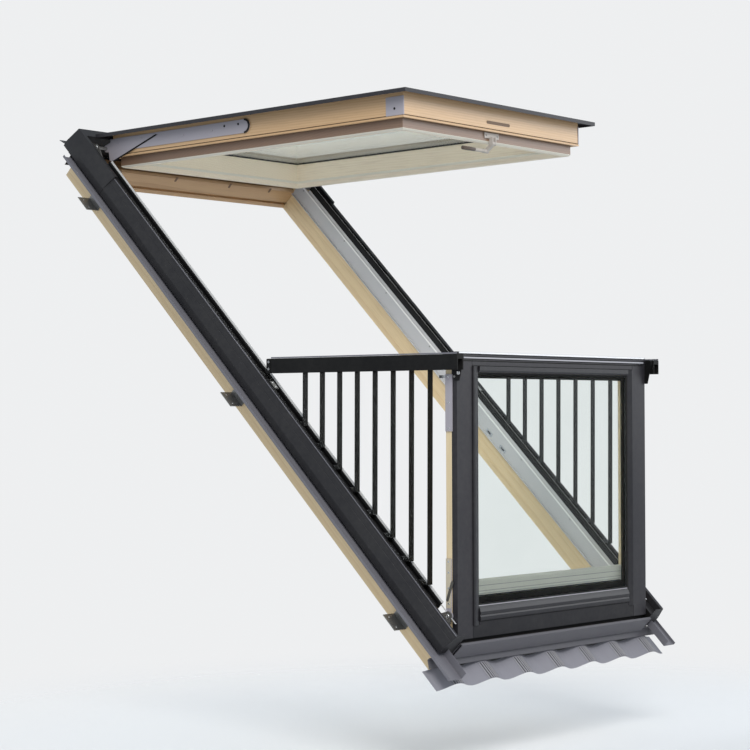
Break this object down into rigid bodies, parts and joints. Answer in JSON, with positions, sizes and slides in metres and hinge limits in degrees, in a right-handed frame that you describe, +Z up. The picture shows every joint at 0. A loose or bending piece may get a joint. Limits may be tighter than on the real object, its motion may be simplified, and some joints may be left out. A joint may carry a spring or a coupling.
{
  "type": "roof skylight",
  "caption": "Balcony roof window in a pine frame with anthracite covers, lower sash upright as a glass parapet, folding side balustrades and a raised upper sash.",
  "frame": {"origin": "middle of the frame's back face at the sill, where it lies in the roof", "axes": "+X right along the eaves, +Y level into the roof, +Z up; the roof slopes up to the rear at 45 degrees"},
  "size_m": [1.38, 1.9354, 2.0127],
  "materials": {
    "timber": "clear lacquered pine",
    "sheet": "anthracite coated aluminium sheet",
    "cladding": "anthracite coated aluminium profile",
    "bead": "anthracite coated profile",
    "flashing": "grey coated sheet",
    "lining": "satin",
    "rail": "grey anodised extrusion",
    "glass": "clear double glazing",
    "spacer": "matt",
    "steel": "zinc plated",
    "handrail": "near black powder coat",
    "baluster": "near black powder coat",
    "plastic": "black",
    "profile": "grey coated profile",
    "handle": "light grey",
    "plastic_steel": "black coated steel"
  },
  "bodies": {
    "frame": {"frame_sides": "timber", "frame_head": "timber", "frame_sill": "timber", "side_linings": "lining", "guide_rails": "rail", "side_covers": "sheet", "head_cover": "sheet", "sill_cover": "sheet", "side_flashings": "flashing", "flashing_tray": "flashing", "flashing_apron": "flashing", "mounting_brackets": "steel", "lower_hinge_plates": "steel", "upper_hinge_plates": "steel"},
    "upper_sash": {"upper_stiles": "timber", "upper_rail_front": "timber", "upper_rail_rear": "timber", "upper_side_claddings": "cladding", "upper_front_cladding": "cladding", "upper_rear_cladding": "cladding", "upper_glass": "glass", "upper_spacer": "spacer", "hinge_arms": "steel", "corner_plates": "steel", "handle_base": "handle"},
    "lower_sash": {"lower_stiles": "timber", "lower_rail_top": "timber", "lower_rail_bottom": "timber", "lower_inner_profile": "profile", "lower_side_claddings": "cladding", "lower_top_cladding": "cladding", "lower_bottom_cladding": "cladding", "glazing_beads": "bead", "lower_glass": "glass", "lower_spacer": "spacer", "side_straps": "steel", "rail_brackets": "plastic_steel"},
    "handle": {"handle_lever": "handle"},
    "handrail_left": {"handrail_left": "handrail", "rail_cap_left": "plastic"},
    "rear_shoe_left": {"rear_shoe_left": "plastic"},
    "baluster_1_left": {"baluster_1_left": "baluster"},
    "baluster_2_left": {"baluster_2_left": "baluster"},
    "baluster_3_left": {"baluster_3_left": "baluster"},
    "baluster_4_left": {"baluster_4_left": "baluster"},
    "baluster_5_left": {"baluster_5_left": "baluster"},
    "baluster_6_left": {"baluster_6_left": "baluster"},
    "baluster_7_left": {"baluster_7_left": "baluster"},
    "baluster_8_left": {"baluster_8_left": "baluster"},
    "handrail_right": {"handrail_right": "handrail", "rail_cap_right": "plastic"},
    "rear_shoe_right": {"rear_shoe_right": "plastic"},
    "baluster_1_right": {"baluster_1_right": "baluster"},
    "baluster_2_right": {"baluster_2_right": "baluster"},
    "baluster_3_right": {"baluster_3_right": "baluster"},
    "baluster_4_right": {"baluster_4_right": "baluster"},
    "baluster_5_right": {"baluster_5_right": "baluster"},
    "baluster_6_right": {"baluster_6_right": "baluster"},
    "baluster_7_right": {"baluster_7_right": "baluster"},
    "baluster_8_right": {"baluster_8_right": "baluster"}
  },
  "joints": [
    {"name": "lower_sash_swing", "type": "hinge", "parent": "frame", "child": "lower_sash", "pos_m": [0, -0.07071, 0.16122], "axis": [1, 0, 0], "range_deg": [-45, 0]},
    {"name": "upper_sash_swing", "type": "hinge", "parent": "frame", "child": "upper_sash", "pos_m": [0, 1.62776, 1.85969], "axis": [1, 0, 0], "range_deg": [0, 46]},
    {"name": "handle_turn", "type": "hinge", "parent": "upper_sash", "child": "handle", "pos_m": [0, 0.16762, 1.80717], "axis": [1, 0, 0], "range_deg": [-50, 15]},
    {"name": "handrail_left_pivot", "type": "hinge", "parent": "lower_sash", "child": "handrail_left", "pos_m": [-0.601, -0.12321, 1.01722], "axis": [1, 0, 0], "range_deg": [0, 90]},
    {"name": "rear_shoe_left_pivot", "type": "hinge", "parent": "handrail_left", "child": "rear_shoe_left", "pos_m": [-0.601, 0.73279, 0.96472], "axis": [1, 0, 0], "range_deg": [-45, 0]},
    {"name": "baluster_1_left_pivot", "type": "hinge", "parent": "handrail_left", "child": "baluster_1_left", "pos_m": [-0.601, -0.01435, 1.01171], "axis": [1, 0, 0], "range_deg": [-90, 0]},
    {"name": "baluster_2_left_pivot", "type": "hinge", "parent": "handrail_left", "child": "baluster_2_left", "pos_m": [-0.601, 0.06512, 1.00768], "axis": [1, 0, 0], "range_deg": [-90, 0]},
    {"name": "baluster_3_left_pivot", "type": "hinge", "parent": "handrail_left", "child": "baluster_3_left", "pos_m": [-0.601, 0.14459, 1.00365], "axis": [1, 0, 0], "range_deg": [-90, 0]},
    {"name": "baluster_4_left_pivot", "type": "hinge", "parent": "handrail_left", "child": "baluster_4_left", "pos_m": [-0.601, 0.22406, 0.99963], "axis": [1, 0, 0], "range_deg": [-90, 0]},
    {"name": "baluster_5_left_pivot", "type": "hinge", "parent": "handrail_left", "child": "baluster_5_left", "pos_m": [-0.601, 0.30353, 0.9956], "axis": [1, 0, 0], "range_deg": [-90, 0]},
    {"name": "baluster_6_left_pivot", "type": "hinge", "parent": "handrail_left", "child": "baluster_6_left", "pos_m": [-0.601, 0.383, 0.99157], "axis": [1, 0, 0], "range_deg": [-90, 0]},
    {"name": "baluster_7_left_pivot", "type": "hinge", "parent": "handrail_left", "child": "baluster_7_left", "pos_m": [-0.601, 0.46247, 0.98755], "axis": [1, 0, 0], "range_deg": [-90, 0]},
    {"name": "baluster_8_left_pivot", "type": "hinge", "parent": "handrail_left", "child": "baluster_8_left", "pos_m": [-0.601, 0.54194, 0.98352], "axis": [1, 0, 0], "range_deg": [-90, 0]},
    {"name": "handrail_right_pivot", "type": "hinge", "parent": "lower_sash", "child": "handrail_right", "pos_m": [0.601, -0.12321, 1.01722], "axis": [1, 0, 0], "range_deg": [0, 90]},
    {"name": "rear_shoe_right_pivot", "type": "hinge", "parent": "handrail_right", "child": "rear_shoe_right", "pos_m": [0.601, 0.73279, 0.96472], "axis": [1, 0, 0], "range_deg": [-45, 0]},
    {"name": "baluster_1_right_pivot", "type": "hinge", "parent": "handrail_right", "child": "baluster_1_right", "pos_m": [0.601, -0.01435, 1.01171], "axis": [1, 0, 0], "range_deg": [-90, 0]},
    {"name": "baluster_2_right_pivot", "type": "hinge", "parent": "handrail_right", "child": "baluster_2_right", "pos_m": [0.601, 0.06512, 1.00768], "axis": [1, 0, 0], "range_deg": [-90, 0]},
    {"name": "baluster_3_right_pivot", "type": "hinge", "parent": "handrail_right", "child": "baluster_3_right", "pos_m": [0.601, 0.14459, 1.00365], "axis": [1, 0, 0], "range_deg": [-90, 0]},
    {"name": "baluster_4_right_pivot", "type": "hinge", "parent": "handrail_right", "child": "baluster_4_right", "pos_m": [0.601, 0.22406, 0.99963], "axis": [1, 0, 0], "range_deg": [-90, 0]},
    {"name": "baluster_5_right_pivot", "type": "hinge", "parent": "handrail_right", "child": "baluster_5_right", "pos_m": [0.601, 0.30353, 0.9956], "axis": [1, 0, 0], "range_deg": [-90, 0]},
    {"name": "baluster_6_right_pivot", "type": "hinge", "parent": "handrail_right", "child": "baluster_6_right", "pos_m": [0.601, 0.383, 0.99157], "axis": [1, 0, 0], "range_deg": [-90, 0]},
    {"name": "baluster_7_right_pivot", "type": "hinge", "parent": "handrail_right", "child": "baluster_7_right", "pos_m": [0.601, 0.46247, 0.98755], "axis": [1, 0, 0], "range_deg": [-90, 0]},
    {"name": "baluster_8_right_pivot", "type": "hinge", "parent": "handrail_right", "child": "baluster_8_right", "pos_m": [0.601, 0.54194, 0.98352], "axis": [1, 0, 0], "range_deg": [-90, 0]}
  ],
  "couplings": [
    {"joint": "handrail_left_pivot", "follows": "lower_sash_swing", "ratio": -2},
    {"joint": "rear_shoe_left_pivot", "follows": "lower_sash_swing", "ratio": 1},
    {"joint": "baluster_1_left_pivot", "follows": "lower_sash_swing", "ratio": 2},
    {"joint": "baluster_2_left_pivot", "follows": "lower_sash_swing", "ratio": 2},
    {"joint": "baluster_3_left_pivot", "follows": "lower_sash_swing", "ratio": 2},
    {"joint": "baluster_4_left_pivot", "follows": "lower_sash_swing", "ratio": 2},
    {"joint": "baluster_5_left_pivot", "follows": "lower_sash_swing", "ratio": 2},
    {"joint": "baluster_6_left_pivot", "follows": "lower_sash_swing", "ratio": 2},
    {"joint": "baluster_7_left_pivot", "follows": "lower_sash_swing", "ratio": 2},
    {"joint": "baluster_8_left_pivot", "follows": "lower_sash_swing", "ratio": 2},
    {"joint": "handrail_right_pivot", "follows": "lower_sash_swing", "ratio": -2},
    {"joint": "rear_shoe_right_pivot", "follows": "lower_sash_swing", "ratio": 1},
    {"joint": "baluster_1_right_pivot", "follows": "lower_sash_swing", "ratio": 2},
    {"joint": "baluster_2_right_pivot", "follows": "lower_sash_swing", "ratio": 2},
    {"joint": "baluster_3_right_pivot", "follows": "lower_sash_swing", "ratio": 2},
    {"joint": "baluster_4_right_pivot", "follows": "lower_sash_swing", "ratio": 2},
    {"joint": "baluster_5_right_pivot", "follows": "lower_sash_swing", "ratio": 2},
    {"joint": "baluster_6_right_pivot", "follows": "lower_sash_swing", "ratio": 2},
    {"joint": "baluster_7_right_pivot", "follows": "lower_sash_swing", "ratio": 2},
    {"joint": "baluster_8_right_pivot", "follows": "lower_sash_swing", "ratio": 2}
  ]
}
